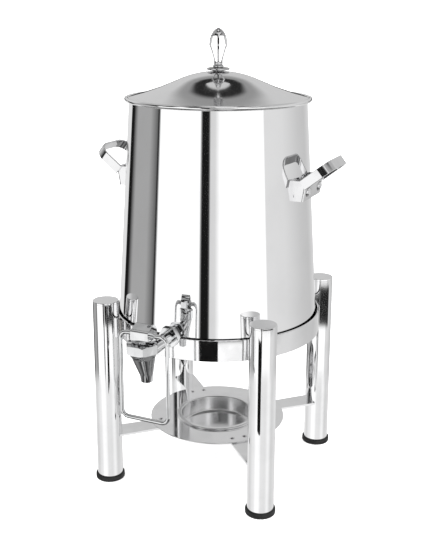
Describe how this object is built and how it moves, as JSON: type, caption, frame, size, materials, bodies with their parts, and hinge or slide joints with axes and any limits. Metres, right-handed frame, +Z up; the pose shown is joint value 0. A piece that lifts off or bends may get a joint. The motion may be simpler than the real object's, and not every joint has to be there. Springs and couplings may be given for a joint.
{
  "type": "coffee urn",
  "caption": "Tapered steel coffee urn with a domed lift-off lid, side grips and a push-back faucet, resting in a four-legged stand with a fuel well.",
  "frame": {"origin": "on the floor plane under the feet, on the urn's vertical axis", "axes": "+Z up along the urn's axis; the faucet faces -Y; the grips lie on +X and -X"},
  "size_m": [0.31, 0.3401, 0.5515],
  "materials": {
    "polished_steel": "mirror-polished stainless steel sheet",
    "stand_steel": "mirror-polished stainless steel tube and strip",
    "inner_steel": "satin stainless steel inside the vessel",
    "faucet_chrome": "polished plated castings and rod",
    "fastener_steel": "bright stainless fasteners and springs",
    "seal_rubber": "food-grade seal",
    "black_rubber": "black moulded feet"
  },
  "bodies": {
    "stand": {"leg_tube_front_left": "stand_steel", "leg_tube_front_right": "stand_steel", "leg_tube_rear_left": "stand_steel", "leg_tube_rear_right": "stand_steel", "leg_cap_front_left": "stand_steel", "leg_cap_front_right": "stand_steel", "leg_cap_rear_left": "stand_steel", "leg_cap_rear_right": "stand_steel", "foot_front_left": "black_rubber", "foot_front_right": "black_rubber", "foot_rear_left": "black_rubber", "foot_rear_right": "black_rubber", "support_band": "stand_steel", "seat_ring": "stand_steel", "band_welds": "stand_steel", "cross_arm_front_left": "stand_steel", "cross_arm_front_right": "stand_steel", "cross_arm_rear_left": "stand_steel", "cross_arm_rear_right": "stand_steel", "fuel_plate": "stand_steel", "fuel_well_cup": "stand_steel", "plate_rivets": "stand_steel"},
    "urn": {"urn_shell": "polished_steel", "urn_bottom": "inner_steel", "mouth_ring": "inner_steel", "handle_bracket_left": "polished_steel", "handle_backing_left": "fastener_steel", "handle_grip_left": "polished_steel", "handle_screws_left": "fastener_steel", "handle_nuts_left": "fastener_steel", "handle_bracket_right": "polished_steel", "handle_backing_right": "fastener_steel", "handle_grip_right": "polished_steel", "handle_screws_right": "fastener_steel", "handle_nuts_right": "fastener_steel", "faucet_body": "faucet_chrome", "faucet_bonnet": "faucet_chrome", "faucet_gasket": "seal_rubber", "faucet_hex_nut": "faucet_chrome", "faucet_inner_gasket": "seal_rubber", "faucet_inner_nut": "fastener_steel", "faucet_inner_washer": "fastener_steel", "faucet_shank": "faucet_chrome", "faucet_washer": "faucet_chrome"},
    "faucet_stem": {"faucet_stem": "fastener_steel", "faucet_seat_cup": "seal_rubber", "faucet_spring": "fastener_steel"},
    "faucet_lever": {"lever_hoop": "faucet_chrome", "lever_hub": "faucet_chrome", "lever_set_screw": "fastener_steel", "lever_collars": "faucet_chrome"},
    "lid": {"lid_dome": "polished_steel", "lid_skirt": "inner_steel", "knob_neck": "polished_steel", "knob_disc": "polished_steel", "knob_ring": "polished_steel", "knob_cage": "polished_steel", "knob_stud": "fastener_steel", "knob_washer": "fastener_steel", "knob_nut": "fastener_steel"}
  },
  "joints": [
    {"name": "urn_lift", "type": "slide", "parent": "stand", "child": "urn", "axis": [0, 0, 1], "range_m": [0, 0.08]},
    {"name": "lid_lift", "type": "slide", "parent": "urn", "child": "lid", "axis": [0, 0, 1], "range_m": [0, 0.08]},
    {"name": "stem_lift", "type": "slide", "parent": "urn", "child": "faucet_stem", "axis": [0, 0, 1], "range_m": [0, 0.0026], "stiffness_N_per_m": 300, "springref_m": -0.003, "deforming": ["faucet_spring"]},
    {"name": "lever_rock", "type": "hinge", "parent": "faucet_stem", "child": "faucet_lever", "pos_m": [0, -0.192, 0.2358], "axis": [1, 0, 0], "range_deg": [0, 14], "stiffness_Nm_per_rad": 0.8, "springref_deg": -14.32}
  ],
  "couplings": [
    {"joint": "stem_lift", "follows": "lever_rock", "m_per_rad": 0.01}
  ]
}
